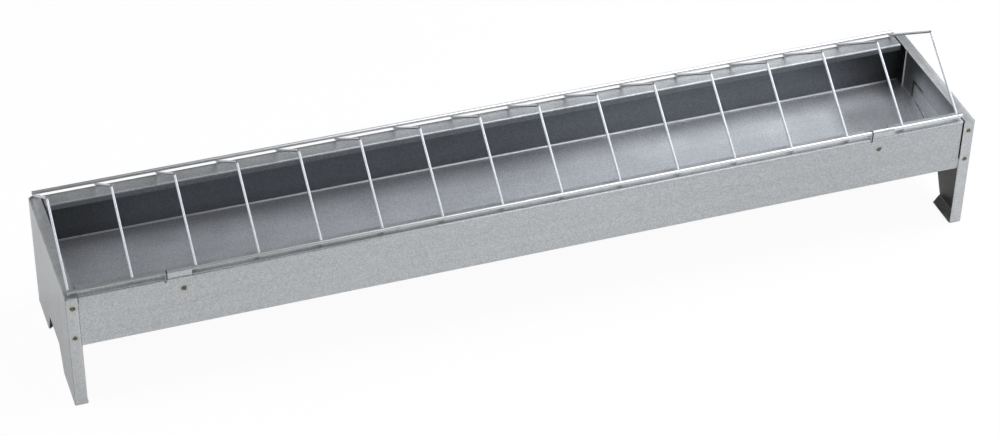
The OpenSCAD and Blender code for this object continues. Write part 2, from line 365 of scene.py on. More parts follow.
class WeldMark(ShaderGroup):
    """The scorch that a spot weld along Y leaves: a dark core, and a yellowed ring round it."""

    name = "weld_mark"
    inputs = {"Vector": NO_VECTOR, "Centre": NO_VECTOR, "Radius": 2.5 * MM}
    outputs = ("Core", "Ring")
    weights = (1.0, 0.1, 1.0)
    smoke_per_metre = 1.0 / (3.0 * MM)
    smoke_share = 1.6
    core = (1.25, 0.85)
    ring = (2.6, 1.1)

    @classmethod
    def draw(cls, graph: Graph, given: bpy.types.NodeOutputs) -> dict[str, object]:
        """Wires two falling ramps on the distance from the weld, in radii, made uneven by noise.

        Args:
            graph: The group's graph.
            given: The group's inputs, by name.

        Returns:
            The masks of the core and the ring.
        """
        away = graph.vector("SUBTRACT", given["Vector"], given["Centre"])
        distance = graph.vector("LENGTH", graph.vector("MULTIPLY", away, cls.weights))
        smoke = graph.noise(given["Vector"], cls.smoke_per_metre)
        radii = graph.plus(graph.math("DIVIDE", distance, given["Radius"]), smoke, cls.smoke_share)
        return {"Core": graph.ramp(radii, *cls.core), "Ring": graph.ramp(radii, *cls.ring)}


class BoxMask(ShaderGroup):
    """A region with a box's shape and soft borders."""

    name = "box_mask"
    inputs = {"Vector": NO_VECTOR, "Middle": NO_VECTOR, "Half": (MM, MM, MM),
              "Soft": (BORDER, BORDER, BORDER), "Turn": 0.0}
    outputs = ("Mask",)

    @classmethod
    def draw(cls, graph: Graph, given: bpy.types.NodeOutputs) -> dict[str, object]:
        """Wires a ramp on the distance to the box, as a share of its soft border.

        Args:
            graph: The group's graph.
            given: The group's inputs, by name.

        Returns:
            The mask.
        """
        turned = graph.node("ShaderNodeVectorRotate", {
            "Vector": given["Vector"], "Center": given["Middle"], "Angle": given["Turn"]},
            rotation_type="Z_AXIS", invert=True).outputs[0]
        away = graph.vector("ABSOLUTE", graph.vector("SUBTRACT", turned, given["Middle"]))
        beyond = graph.vector("MAXIMUM", graph.vector("SUBTRACT", away, given["Half"]))
        borders = graph.vector("LENGTH", graph.vector("DIVIDE", beyond, given["Soft"]))
        return {"Mask": graph.ramp(borders, 1.0, 0.0)}


@dataclass(frozen=True)
class Region:
    """A box on a sheet painted another colour: painted shade on shaded faces and in gaps, painted light on
    lit faces.

    It may be turned by some degrees round its upright middle line. With both_ends it lies at all
    four corners of the trough, and its box is the one at the right rear.
    """

    low: Point
    high: Point
    colour: Colour
    strength: float = 1.0
    soft: Point = (BORDER, BORDER, BORDER)
    turn: float = 0.0
    both_ends: bool = False

    def mask(self, graph: Graph, place: bpy.types.NodeSocket,
             folded: bpy.types.NodeSocket) -> bpy.types.NodeSocket:
        """Wires the region's mask.

        Args:
            graph: The material's graph.
            place: The object coordinates.
            folded: The same without the signs of X and Y, for a region that all four corners have.

        Returns:
            The mask's socket, up to the region's strength.
        """
        low, high = Vector(self.low), Vector(self.high)
        box = graph.place(
            BoxMask.tree(), Vector=folded if self.both_ends else place, Middle=tuple((low + high) / 2),
            Half=tuple((high - low) / 2), Soft=self.soft, Turn=math.radians(self.turn))
        return graph.math("MULTIPLY", box["Mask"], self.strength)


def empty_material(name: str) -> tuple[bpy.types.Material, Graph]:
    """Starts a material with no nodes.

    Args:
        name: The material's name.

    Returns:
        The material and its graph.
    """
    made = bpy.data.materials.new(name)
    made.use_nodes = True
    made.node_tree.nodes.clear()
    return made, Graph(made.node_tree)


@dataclass(frozen=True)
class Finish:
    """What every metal finish has in common."""

    slot: str
    colour: Colour
    roughness: float
    metallic: float = 1.0

    def start(self) -> tuple[bpy.types.Material, Graph, bpy.types.Node, bpy.types.NodeSocket]:
        """Starts a metal's material.

        Returns:
            The material, its graph, its Principled node and its object coordinates.
        """
        made, graph = empty_material(self.slot)
        metal = graph.node("ShaderNodeBsdfPrincipled", {"Metallic": self.metallic})
        graph.node("ShaderNodeOutputMaterial", {"Surface": metal.outputs[0]})
        place = graph.node("ShaderNodeTexCoord").outputs["Object"]
        return made, graph, metal, place

    def bump(self, graph: Graph, metal: bpy.types.Node, heights: list[bpy.types.NodeSocket]) -> None:
        """Adds up heights in metres and feeds them to the shader's normal.

        Args:
            graph: The material's graph.
            metal: Its Principled node.
            heights: The heights to add up.
        """
        total = heights[0]
        for height in heights[1:]:
            total = graph.math("ADD", total, height)
        bump = graph.node("ShaderNodeBump", {"Strength": 1.0, "Distance": 1.0, "Height": total})
        graph.feed(metal, {"Normal": bump.outputs[0]})


@dataclass(frozen=True)
class ZincSheet(Finish):
    """Galvanised sheet, with the marks of the spot welds that go through it."""

    rolling: Rolling = Rolling.ALONG_TROUGH
    worn: Colour = (0.62, 0.63, 0.64)
    wear: float = 0.25
    scorched: Colour = (0.085, 0.078, 0.060)
    yellowed: Colour = (0.46, 0.42, 0.31)
    yellow_share: float = 0.35
    crystal: float = 0.95 * MM
    contrast: float = 0.34
    streaks: float = 0.10
    line_depth: float = 0.010 * MM
    band_pitch: float = 7.0 * MM
    band_depth: float = 0.02 * MM
    band_share: float = 1.4
    wave: float = 0.25 * MM
    pull: float = 0.5
    graze: float = 1.0
    grain_rough: float = -0.06
    handled_rough: float = 0.12
    scorched_rough: float = 0.3
    weld_r: float = 2.4 * MM
    # Boxes of painted light and painted shade over the sheet's own colour.
    regions: tuple[Region, ...] = ()

    def material(self, welds: list[Point]) -> bpy.types.Material:
        """Builds the sheet's material.

        Args:
            welds: The centres of the spot welds whose scorch shows on this sheet.

        Returns:
            The material.
        """
        made, graph, metal, place = self.start()
        turned = graph.node("ShaderNodeMapping", {"Vector": place, "Rotation": self.rolling.turn()})
        along = turned.outputs["Vector"]
        across = graph.node("ShaderNodeTangent", direction_type="RADIAL", axis=self.rolling.value)
        graph.feed(metal, {"Tangent": across.outputs[0], "Anisotropic": self.pull,
                           "Specular Tint": rgba((self.graze,) * 3)})
        grain = graph.place(ZincGrain.tree(), Vector=place, Crystal=self.crystal)
        lines = graph.place(RollingLines.tree(), Vector=along, Depth=self.line_depth)
        bands = graph.place(RollingLines.tree(), Vector=along, Pitch=self.band_pitch, Depth=self.band_depth)
        handling = graph.place(Handling.tree(), Vector=along, Wave=self.wave)
        worn = graph.math("MULTIPLY", graph.place(EdgeWear.tree(), Vector=place)["Mask"], self.wear)

        tone = graph.math("MULTIPLY", grain["Tone"], self.contrast)
        tone = graph.plus(tone, lines["Tone"], self.streaks)
        tone = graph.plus(tone, bands["Tone"], self.band_share * self.streaks)
        tone = graph.plus(tone, handling["Tone"], self.streaks)
        colour: object = rgba(self.colour)
        folded = graph.vector("ABSOLUTE", place)
        # Paints each region's light or shade over the sheet's colour.
        for region in self.regions:
            colour = graph.tint(region.mask(graph, place, folded), colour, rgba(region.colour))
        colour = graph.tint(worn, colour, rgba(self.worn))
        colour = graph.scale(colour, graph.math("ADD", tone, 1.0))
        rough = graph.plus(self.roughness, grain["Tone"], self.grain_rough)
        rough = graph.plus(rough, handling["Tone"], self.handled_rough)
        if welds:
            core, ring = self.scorch(graph, place, welds)
            colour = graph.tint(graph.math("MULTIPLY", ring, self.yellow_share), colour, rgba(self.yellowed))
            colour = graph.tint(core, colour, rgba(self.scorched))
            rough = graph.plus(rough, core, self.scorched_rough)
        graph.feed(metal, {"Base Color": colour, "Roughness": graph.math("ADD", rough, 0.0, clamp=True)})
        self.bump(graph, metal, [part["Height"] for part in (grain, lines, bands, handling)])
        return made

    def scorch(self, graph: Graph, place: bpy.types.NodeSocket, welds: list[Point]) -> tuple[object, object]:
        """Joins the marks of all the welds.

        Args:
            graph: The material's graph.
            place: The object coordinates.
            welds: The welds' centres.

        Returns:
            The strongest core and the strongest ring at each point.
        """
        core: object = 0.0
        ring: object = 0.0
        for centre in welds:
            mark = graph.place(WeldMark.tree(), Vector=place, Centre=centre, Radius=self.weld_r)
            core = graph.math("MAXIMUM", mark["Core"], core)
            ring = graph.math("MAXIMUM", mark["Ring"], ring)
        return core, ring


@dataclass(frozen=True)
class WeldSkin(Finish):
    """The dull, oxidised skin at the bottom of a spot weld's mark."""

    light: Colour = (0.24, 0.22, 0.17)
    crystal: float = 1.1 * MM
    depth: float = 0.03 * MM
    mottle: Pair = (-0.5, 0.9)
    grain_rough: float = 0.15

    def material(self) -> bpy.types.Material:
        """Builds the weld's material.

        Returns:
            The material.
        """
        made, graph, metal, place = self.start()
        grain = graph.place(ZincGrain.tree(), Vector=place, Crystal=self.crystal, Depth=self.depth)
        mottle = graph.ramp(grain["Tone"], *self.mottle)
        graph.feed(metal, {
            "Base Color": graph.tint(mottle, rgba(self.colour), rgba(self.light)),
            "Roughness": graph.plus(self.roughness, grain["Tone"], self.grain_rough, clamp=True)})
        self.bump(graph, metal, [grain["Height"]])
        return made


@dataclass(frozen=True)
class DrawnWire(Finish):
    """Bright zinc-plated wire, with a few dull spots, and painted shade that darkens it toward the left end
    of the run.
    """

    dull_and_shade: Colour = (0.34, 0.35, 0.37)
    dull_share: float = 0.3
    dull_rough: float = 0.15
    spots: Pair = (0.0, 0.35)
    spot_size: float = 14.0 * MM
    crystal: float = 0.9 * MM
    depth: float = 0.002 * MM
    contrast: float = 0.08
    # The painted shade toward the left end: the share of the colour left where it is full, where along X it
    # is full and where it starts.
    shade_share: float = 1.0
    shade_x: float = -0.40
    lit_x: float = 0.12

    def material(self) -> bpy.types.Material:
        """Builds the wire's material.

        Returns:
            The material.
        """
        made, graph, metal, place = self.start()
        grain = graph.place(ZincGrain.tree(), Vector=place, Crystal=self.crystal, Depth=self.depth)
        handling = graph.place(Handling.tree(), Vector=place, Patch=self.spot_size, Wave=0.0)
        dullness = graph.ramp(handling["Tone"], *self.spots)
        skin = graph.tint(graph.math("MULTIPLY", dullness, self.dull_share), rgba(self.colour),
                          rgba(self.dull_and_shade))
        along = graph.node("ShaderNodeSeparateXYZ", {0: place}).outputs["X"]
        # Painted shade, from none at one place along X to full at the other.
        shading = graph.ramp(along, self.lit_x, self.shade_x)
        share = graph.plus(graph.math("MULTIPLY", shading, self.shade_share - 1.0), grain["Tone"], self.contrast)
        graph.feed(metal, {
            "Base Color": graph.scale(skin, graph.math("ADD", share, 1.0)),
            "Roughness": graph.plus(self.roughness, dullness, self.dull_rough)})
        self.bump(graph, metal, [grain["Height"]])
        return made


def wear_material(node: str, made: bpy.types.Material) -> None:
    """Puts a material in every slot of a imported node.

    Args:
        node: The node's name.
        made: The material.
    """
    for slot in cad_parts[node].material_slots:
        slot.material = made
    LOG.info("%s wears %s", node, made.name)


def add_object(name: str, data: bpy.types.ID) -> bpy.types.Object:
    """Adds an object to the scene.

    Args:
        name: The object's name.
        data: Its mesh, or its camera.

    Returns:
        The new object, at the origin.
    """
    made = bpy.data.objects.new(name, data)
    bpy.context.scene.collection.objects.link(made)
    return made


@dataclass(frozen=True)
class Pan:
    """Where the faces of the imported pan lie, at its right end and at its back."""

    end: float
    back: float
    bottom: float
    top: float
    sheet_t: float = 0.8 * MM

    @classmethod
    def packed(cls) -> "Pan":
        """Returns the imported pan's places."""
        low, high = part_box("trough_pan")
        return cls(end=high.x, back=high.y, bottom=low.z, top=high.z)

    @property
    def wall(self) -> float:
        """Returns where the rear wall's inner face lies along Y."""
        return self.back - self.sheet_t

    @property
    def floor(self) -> float:
        """Returns how high the floor's upper face lies."""
        return self.bottom + self.sheet_t


@dataclass
class SpotWelds:
    """The ten spot welds: two at each corner, and one under each hinge clip."""

    corners: tuple[str, ...] = (
        "front_left_welds", "front_right_welds", "rear_left_welds", "rear_right_welds")
    clips: str = "hinge_clip_welds"
    mark_r: float = 2.5 * MM

    def corner_centres(self) -> list[Point]:
        """Finds the corner welds.

        Returns:
            The middles of all eight.
        """
        centres = []
        for node in self.corners:
            low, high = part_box(node)
            x, y = (low.x + high.x) / 2, (low.y + high.y) / 2
            centres += [(x, y, low.z + self.mark_r), (x, y, high.z - self.mark_r)]
        return centres

    def clip_centres(self) -> list[Point]:
        """Finds the welds under the hinge clips.

        Returns:
            The middles of both.
        """
        low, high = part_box(self.clips)
        y, z = (low.y + high.y) / 2, (low.z + high.z) / 2
        return [(low.x + self.mark_r, y, z), (high.x - self.mark_r, y, z)]

    def dress(self) -> None:
        """Gives every weld its scorched skin."""
        skin = WeldSkin("spot_weld", colour=(0.100, 0.093, 0.076), roughness=0.55).material()
        for node in (*self.corners, self.clips):
            wear_material(node, skin)


@dataclass
class Folds:
    """The pan's inner bends along its floor, and the tabs that its walls turn in behind the end plates."""

    pan: Pan
    bend_r: float = 1.6 * MM
    bend_steps: int = 8
    bend_end: float = 3.0 * MM
    tab_w: float = 13.3 * MM
    tab_top: float = 8.0 * MM
    flap_h: float = 20.0 * MM
    lip_half: float = 46.0 * MM
    lip_w: float = 1.7 * MM
    lip_edge: float = 0.6 * MM
    lip_t: float = 0.8 * MM
    lip_slant: float = 0.8
    roll_r: float = 1.1 * MM
    roll_steps: int = 20
    sink: float = 0.2 * MM

    def bend(self) -> list[Pair]:
        """Draws the round inside of the rear bend.

        Returns:
            Its outline, in Y and Z.
        """
        wall, floor = self.pan.wall, self.pan.floor
        outline = []
        for step in range(self.bend_steps + 1):
            turn = -math.radians(90.0) * step / self.bend_steps
            outline.append((wall - self.bend_r * (1.0 - math.cos(turn)),
                            floor + self.bend_r * (1.0 + math.sin(turn))))
        under = floor - self.sink
        behind = wall + self.sink
        return outline + [(wall - self.bend_r, under), (behind, under), (behind, floor + self.bend_r)]

    def tab(self) -> list[Pair]:
        """Draws the right rear tab.

        Returns:
            Its outline, in X and Y.
        """
        end, wall = self.pan.end, self.pan.wall
        inside, edge = end - self.pan.sheet_t, wall - self.tab_w
        return [(end, wall), (end, edge), (inside, edge), (inside, wall)]

    def roll(self) -> list[Pair]:
        """Draws the rolled edge of the right rear tab.

        Returns:
            Its outline, in X and Y.
        """
        x, y = self.pan.end - self.roll_r, self.pan.wall - self.tab_w
        turns = [math.tau * step / self.roll_steps for step in range(self.roll_steps)]
        return [(x + self.roll_r * math.cos(turn), y + self.roll_r * math.sin(turn)) for turn in turns]

    def lip(self) -> list[Pair]:
        """Draws the turned-over top edge of the right flap.

        Returns:
            Its outline, in X and Z.
        """
        end, foot = self.pan.end, self.pan.bottom + self.flap_h
        top, inside = foot + self.lip_t, end - self.lip_w
        return [(inside, foot), (inside, foot + self.lip_edge), (end - self.lip_slant * self.lip_w, top),
                (end, top), (end, foot)]

    def make(self, sheet: bpy.types.Material, bright: bpy.types.Material) -> None:
        """Makes the tabs and lips, and in a smoother finish whose light colour is a painted highlight the
        bends and the tabs' rolled edges.

        Args:
            sheet: The pan's material.
            bright: The material of its tight bends, whose light colour is a painted highlight.
        """
        reach = self.pan.end - self.bend_end
        foot, top = self.pan.floor - 0.5 * self.sink, self.pan.top - self.tab_top
        tabs = Prisms("pan_tabs")
        bends = Prisms("pan_bends")
        for side_y in SIDES:
            bends.add(*([(x, side_y * y, z) for y, z in self.bend()] for x in (-reach, reach)))
            for side_x in SIDES:
                for prisms, outline in ((tabs, self.tab()), (bends, self.roll())):
                    prisms.add(*([(side_x * x, side_y * y, z) for x, y in outline] for z in (foot, top)))
        for side_x in SIDES:
            tabs.add(*([(side_x * x, y, z) for x, z in self.lip()] for y in (-self.lip_half, self.lip_half)))
        tabs.finish(sheet)
        bends.finish(bright)


@dataclass
class Prisms:
    """A piece of the pan that is made up of straight prisms."""

    name: str
    corners: list[Point] = field(default_factory=list)
    faces: list[tuple[int, ...]] = field(default_factory=list)
    sharp_from: float = 35.0

    def add(self, start: list[Point], end: list[Point]) -> None:
        """Adds a prism between two outlines.

        Args:
            start: The outline at one end.
            end: The outline at the other end, with as many corners.
        """
        first, count = len(self.corners), len(start)
        self.corners += start + end
        self.faces.append(tuple(range(first, first + count)))
        self.faces.append(tuple(range(first + 2 * count - 1, first + count - 1, -1)))
        for number in range(count):
            this, following = first + number, first + (number + 1) % count
            self.faces.append((this, this + count, following + count, following))

    def finish(self, made: bpy.types.Material) -> None:
        """Turns the prisms into a piece that rides on the trough.

        Args:
            made: The piece's material.
        """
        mesh = bpy.data.meshes.new(self.name)
        mesh.from_pydata(self.corners, [], self.faces)
        shape = bmesh.new()
        shape.from_mesh(mesh)
        bmesh.ops.recalc_face_normals(shape, faces=shape.faces)
        shape.to_mesh(mesh)
        shape.free()
        for face in mesh.polygons:
            face.use_smooth = True
        mesh.set_sharp_from_angle(angle=math.radians(self.sharp_from))
        mesh.materials.append(made)
        piece = add_object(self.name, mesh)
        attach(piece, Body.TROUGH.value)
        LOG.info("%s: %d faces", self.name, len(self.faces))


@dataclass
class SheetWork:
    """The folded pan, the two end plates and the two hinge clips."""

    welds: SpotWelds
    pan: Pan
    # Colours of painted light and painted shade, which the regions below paint over the zinc: the dark ones
    # where shade falls, the light ones where light or a highlight falls.
    dull_and_shade: Colour = (0.186, 0.198, 0.214)
    corner: Colour = (0.108, 0.112, 0.119)
    shaded: Colour = (0.085, 0.086, 0.083)
    dark: Colour = (0.012, 0.012, 0.014)
    floor_painted_light: Colour = (0.540, 0.551, 0.578)
    floor_painted_sheen: Colour = (0.800, 0.812, 0.846)
    right_painted_shade: Colour = (0.330, 0.336, 0.350)
    floor_end_painted_light: Colour = (0.850, 0.865, 0.900)
    painted_highlight: Colour = (0.970, 0.980, 1.000)
    rim_left_painted_light: Colour = (0.780, 0.790, 0.806)
    rim_middle_painted_light: Colour = (0.560, 0.569, 0.582)
    rim_painted_shade: Colour = (0.385, 0.392, 0.402)
    wall_shade: Colour = (0.455, 0.464, 0.471)
    painted_sheen: Colour = (0.900, 0.920, 0.960)
    flange_painted_light: Colour = (0.678, 0.686, 0.694)
    plate_shade: Colour = (0.240, 0.244, 0.250)
    leg_painted_shade: Colour = (0.117, 0.119, 0.111)
    foot_painted_light: Colour = (0.700, 0.706, 0.700)
    clips: tuple[str, str] = ("left_hinge_clip", "right_hinge_clip")
    plates: tuple[str, str] = ("left_end_plate", "right_end_plate")
    plate_t: float = 1.0 * MM
    rim_w: float = 20.0 * MM
    rim_end: float = 486.0 * MM
    turned_h: float = 7.0 * MM
    rim_gap: float = 1.5 * MM
    slot_w: float = 2.0 * MM
    notch_w: float = 8.0 * MM
    floor_bend: float = 1.5 * MM
    cut_edge: float = 0.8 * MM

    def floor(self, front_left: Pair, rear_right: Pair, colour: Colour,
              soft: Pair = (BORDER, BORDER), **how: object) -> Region:
        """Marks out a region of the floor's upper face.

        Args:
            front_left: Its front left corner, in X and Y.
            rear_right: Its rear right corner.
            colour: Its colour.
            soft: Its soft border along X and Y.
            how: Its strength, turn and ends, as in Region.

        Returns:
            The region.
        """
        low, high = self.pan.floor - SKIN, self.pan.floor + SKIN
        return Region((*front_left, low), (*rear_right, high), colour, soft=(*soft, BORDER), **how)

    def rim(self, front_left: Pair, rear_right: Pair, colour: Colour, soft: Pair) -> Region:
        """Marks out a region of a rim's upper face.

        Args:
            front_left: Its front left corner, in X and Y.
            rear_right: Its rear right corner.
            colour: Its colour.
            soft: Its soft border along X and Y.

        Returns:
            The region.
        """
        low, high = self.pan.top - BORDER, self.pan.top + SKIN
        return Region((*front_left, low), (*rear_right, high), colour, soft=(*soft, SKIN))

    def rear_wall(self, left: float, right: float, colour: Colour, soft: float = BORDER,
                  **how: object) -> Region:
        """Marks out a region of the rear wall's inner face, over its full height.

        Args:
            left: Its left end along X.
            right: Its right end.
            colour: Its colour.
            soft: Its soft border along X.
            how: Its strength and ends, as in Region.

        Returns:
            The region.
        """
        low = (left, self.pan.wall - 0.5 * MM, self.pan.floor + self.floor_bend)
        high = (right, self.pan.wall + SKIN, self.pan.top)
        return Region(low, high, colour, soft=(soft, BORDER, BORDER), **how)

    def inner_faces(self) -> tuple[Region, ...]:
        """Marks out painted light and highlights on the pan's floor and end flaps, and painted shade on its
        floor and rear wall.

        Returns:
            Their regions.
        """
        end, wall, floor = self.pan.end, self.pan.wall, self.pan.floor
        return (
            # Painted light over the whole floor.
            self.floor((0.0, 0.0), (end - 3.0 * MM, wall), self.floor_painted_light, both_ends=True),
            # Painted sheen on the floor's rear right.
            self.floor((0.20, 0.062), (0.40, wall), self.floor_painted_sheen, (0.20, 0.045)),
            # A band of painted shade across the floor near the right end.
            self.floor((0.415, -wall), (0.440, 0.028), self.right_painted_shade, (0.035, 0.045)),
            # Painted light on the floor's right end.
            self.floor((0.480, -wall), (end, 0.055), self.floor_end_painted_light, (0.018, 0.010)),
            # A painted highlight streak on the floor by the right flap.
            self.floor((0.4842, 0.0075), (0.4856, 0.0605), self.painted_highlight, turn=-11.1),
            # A painted shadow line on the floor beside the right flap.
            self.floor((0.4961, 0.0080), (0.4969, 0.0525), self.dark, strength=0.8, turn=-8.8),
            # Painted light on the pan's end flaps.
            Region((end - 1.0 * MM, 0.0, floor), (end, 34.0 * MM, floor + 24.0 * MM),
                   self.painted_sheen, both_ends=True, soft=(BORDER, 0.02, 6.0 * MM)),
            # Painted shade on the rear wall's inner faces.
            self.rear_wall(0.0, end, self.dull_and_shade, both_ends=True),
            # Painted shade, darker still, on the rear wall near both ends.
            self.rear_wall(0.455, end, self.corner, 0.05),
            self.rear_wall(-end, -0.46, self.corner, 0.09, strength=0.7),
        )

    def rims(self) -> tuple[Region, ...]:
        """Marks out painted light, painted highlights and painted shade on the pan's rims, its front wall and
        its corners.

        Returns:
            The regions.
        """
        end, back, top, bottom = self.pan.end, self.pan.back, self.pan.top, self.pan.bottom
        wall, edge = self.pan.wall, back - self.rim_w
        return (
            # Painted shade on the rear rim's right end.
            self.rim((0.45, edge), (end, back), self.right_painted_shade, (0.06, BORDER)),
            # Painted light on the front rim's left strip.
            self.rim((-end, -back), (-0.28, 9.5 * MM - back), self.rim_left_painted_light, (0.10, 1.0 * MM)),
            # Painted light on the front rim's middle.
            self.rim((-0.20, -back), (0.16, -edge), self.rim_middle_painted_light, (0.16, BORDER)),
            # Painted shade on the front rim behind the rod.
            self.rim((-0.12, 10.5 * MM - back), (end, -edge), self.rim_painted_shade, (0.20, 3.0 * MM)),
            # Painted shade along the rear rim's inner edge.
            Region((-end, edge - BORDER, top - 0.9 * MM), (end, edge + 0.5 * MM, top + SKIN),
                   self.dull_and_shade, strength=0.5),
            Region((0.40, -back - SKIN, bottom), (end, SKIN - back, top),
                   self.wall_shade, soft=(0.40, BORDER, BORDER)),
            # A painted highlight along the front rim's fold.
            Region((-0.10, -back - SKIN, top - 0.9 * MM), (end, 0.9 * MM - back, top + SKIN),
                   self.painted_sheen, strength=0.4, soft=(0.14, BORDER, BORDER)),
            # Painted shade on the rear rim's turned-down edge.
            Region((0.0, edge - BORDER, top - self.turned_h), (end, edge + SKIN, top - 0.6 * MM),
                   self.dull_and_shade, strength=0.75, both_ends=True),
            Region((end - 1.0 * MM, wall - 13.5 * MM, self.pan.floor), (end, wall, top),
                   self.shaded, both_ends=True),
            # A painted highlight along the top of the right flap's lip.
            Region((end - 2.0 * MM, -0.050, bottom + 20.1 * MM), (end, 0.020, bottom + 21.0 * MM),
                   self.painted_highlight, soft=(SKIN, 0.014, SKIN)),
        )

    def dark_gaps(self) -> tuple[Region, ...]:
        """Marks out painted shade on the pan's places that lie in a gap: beside the clips, and at the ends of
        the rims.

        Returns:
            Their regions.
        """
        back, top, bottom = self.pan.back, self.pan.top, self.pan.bottom
        gaps = [Region((self.rim_end, 60.0 * MM, top - 7.5 * MM),
                       (self.rim_end + self.rim_gap, back, top), self.dark, both_ends=True)]
        for node in self.clips:
            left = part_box(node)[0].x
            gaps.append(Region((left - self.slot_w - 0.2 * MM, -back, top - 3.6 * MM),
                               (left, -back + self.notch_w, top), self.dark))
        gaps.append(Region((self.rim_end - 0.6 * MM, -back - SKIN, bottom + 14.0 * MM),
                           (self.rim_end + 0.7 * MM, -back + SKIN, top), self.dark))
        return tuple(gaps)

    def plate_marks(self) -> tuple[Region, ...]:
        """Marks out painted light on the end plates' top flanges, feet and inner faces, and painted shade
        on their legs, inner faces and places in a gap round the pan.

        Returns:
            Their regions.
        """
        top, bottom, pan_back = self.pan.top, self.pan.bottom, self.pan.back
        inside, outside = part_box(self.plates[1])
        inner, left, back = outside.x - self.plate_t, inside.x, outside.y
        return (
            # Painted light on the top flanges.
            Region((left + 1.2 * MM, 0.0, top - SKIN), (outside.x, back, top + SKIN),
                   self.flange_painted_light, both_ends=True),
            # Painted shade on the legs' inner faces.
            Region((left, 0.0, 1.3 * MM), (inner + SKIN, back - 1.0 * MM, bottom - 1.0 * MM),
                   self.leg_painted_shade, both_ends=True),
            # Painted light on the feet.
            Region((left, 0.0, 0.9 * MM), (inner - 0.5 * MM, back - 1.0 * MM, 1.1 * MM),
                   self.foot_painted_light, both_ends=True, soft=(BORDER, BORDER, SKIN)),
            Region((inner - 0.2 * MM, 0.046, bottom), (inner + 0.2 * MM, back, top),
                   self.plate_shade, soft=(BORDER, 0.025, 2.0 * MM)),
            # Painted shade along the plates' rear edges, in the seam by the left front flange and in the gaps
            # at the rim ends.
            Region((outside.x - 0.9 * MM, back - BORDER, 0.0), (outside.x, back, top - 1.5 * MM),
                   self.dark, strength=0.8, both_ends=True),
            Region((-0.4872, -pan_back - 1.1 * MM, bottom), (-0.4864, -pan_back - 0.9 * MM, top),
                   self.dark, strength=0.5),
            Region((self.rim_end, 62.0 * MM, top - 6.0 * MM),
                   (self.rim_end + self.rim_gap + SKIN, pan_back + BORDER, top - SKIN),
                   self.dark, both_ends=True),
            # Painted light on the plates' inner faces beside the end flaps.
            Region((inner - 0.2 * MM, 0.0, bottom), (inner + 0.2 * MM, 30.0 * MM, bottom + 26.0 * MM),
                   self.painted_sheen, strength=0.9, both_ends=True, soft=(BORDER, 0.03, 0.02)),
            # Painted shadow round the end flaps.
            Region((inner - BORDER, -1.0 * MM, bottom), (inner + 0.2 * MM, 49.9 * MM, bottom + 20.6 * MM),
                   self.dark, both_ends=True),
            Region((inner - BORDER, 30.0 * MM, bottom), (inner + 0.2 * MM, 49.9 * MM, bottom + 22.2 * MM),
                   self.dark, both_ends=True, soft=(BORDER, 6.0 * MM, BORDER)),
            # Painted shade on the right front flange's edge.
            Region((self.rim_end + 0.4 * MM, -pan_back - 1.0 * MM, bottom + 14.0 * MM),
                   (self.rim_end + 0.6 * MM, -pan_back - SKIN, top), self.dark),
        )

    def clip_gaps(self) -> tuple[Region, ...]:
        """Marks out the cut left edge of each clip, which stands in the slot's shade.

        Returns:
            Their regions.
        """
        boxes = [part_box(node) for node in self.clips]
        return tuple(Region((low.x - SKIN, low.y, low.z), (low.x + self.cut_edge, high.y, high.z), self.dark)
                     for low, high in boxes)

    def dress(self) -> None:
        """Gives each kind of sheet its own galvanised finish, with painted light and painted shade in its
        regions.
        """
        pan = ZincSheet("pan_sheet", colour=(0.502, 0.512, 0.519), roughness=0.47, metallic=0.95,
                        regions=(*self.inner_faces(), *self.rims(), *self.dark_gaps()))
        pan_material = pan.material(self.welds.clip_centres())
        wear_material("trough_pan", pan_material)
        # The bends' light colour is a painted highlight, with painted shade toward the left end.
        bend = DrawnWire("pan_bend", colour=(0.93, 0.94, 0.95), roughness=0.33, shade_share=0.9)
        Folds(self.pan).make(pan_material, bend.material())
        plate = ZincSheet("end_plate_sheet", colour=(0.486, 0.494, 0.500), roughness=0.40, metallic=0.9,
                          rolling=Rolling.UPRIGHT, contrast=0.28, streaks=0.20, pull=0.3, graze=0.78,
                          regions=self.plate_marks())
        clip = ZincSheet("clip_sheet", colour=(0.50, 0.512, 0.520), roughness=0.42, wave=0.05 * MM,
                         regions=self.clip_gaps())
        corners = self.welds.corner_centres()
        for sheet, nodes, welds in ((plate, self.plates, corners), (clip, self.clips, [])):
            made = sheet.material(welds)
            for node in nodes:
                wear_material(node, made)


def finish_shape(graph: Graph, given: bpy.types.NodeOutputs, shape: bpy.types.NodeSocket,
                 sharp_from: float = 50.0) -> bpy.types.NodeSocket:
    """Turns instances into real meshes, smooth but for their sharp ends, in the given material.

    Args:
        graph: The tree's graph.
        given: The tree's inputs, with one named Material.
        shape: The instances to finish.
        sharp_from: The angle in degrees from which an edge stays sharp.

    Returns:
        The finished shape's socket.
    """
    real = graph.node("GeometryNodeRealizeInstances", {0: shape})
    smooth = graph.node("GeometryNodeSetShadeSmooth", {0: real.outputs[0]}, domain="FACE")
    angle = graph.node("GeometryNodeInputMeshEdgeAngle").outputs["Unsigned Angle"]
    sharp = graph.node("FunctionNodeCompare", {0: angle, 1: math.radians(sharp_from)},
                       data_type="FLOAT", operation="GREATER_THAN")
    edges = graph.node("GeometryNodeSetShadeSmooth", {
        0: smooth.outputs[0], "Selection": sharp.outputs[0], "Shade Smooth": False}, domain="EDGE")
    return graph.node("GeometryNodeSetMaterial", {
        "Geometry": edges.outputs[0], "Material": given["Material"]}).outputs[0]


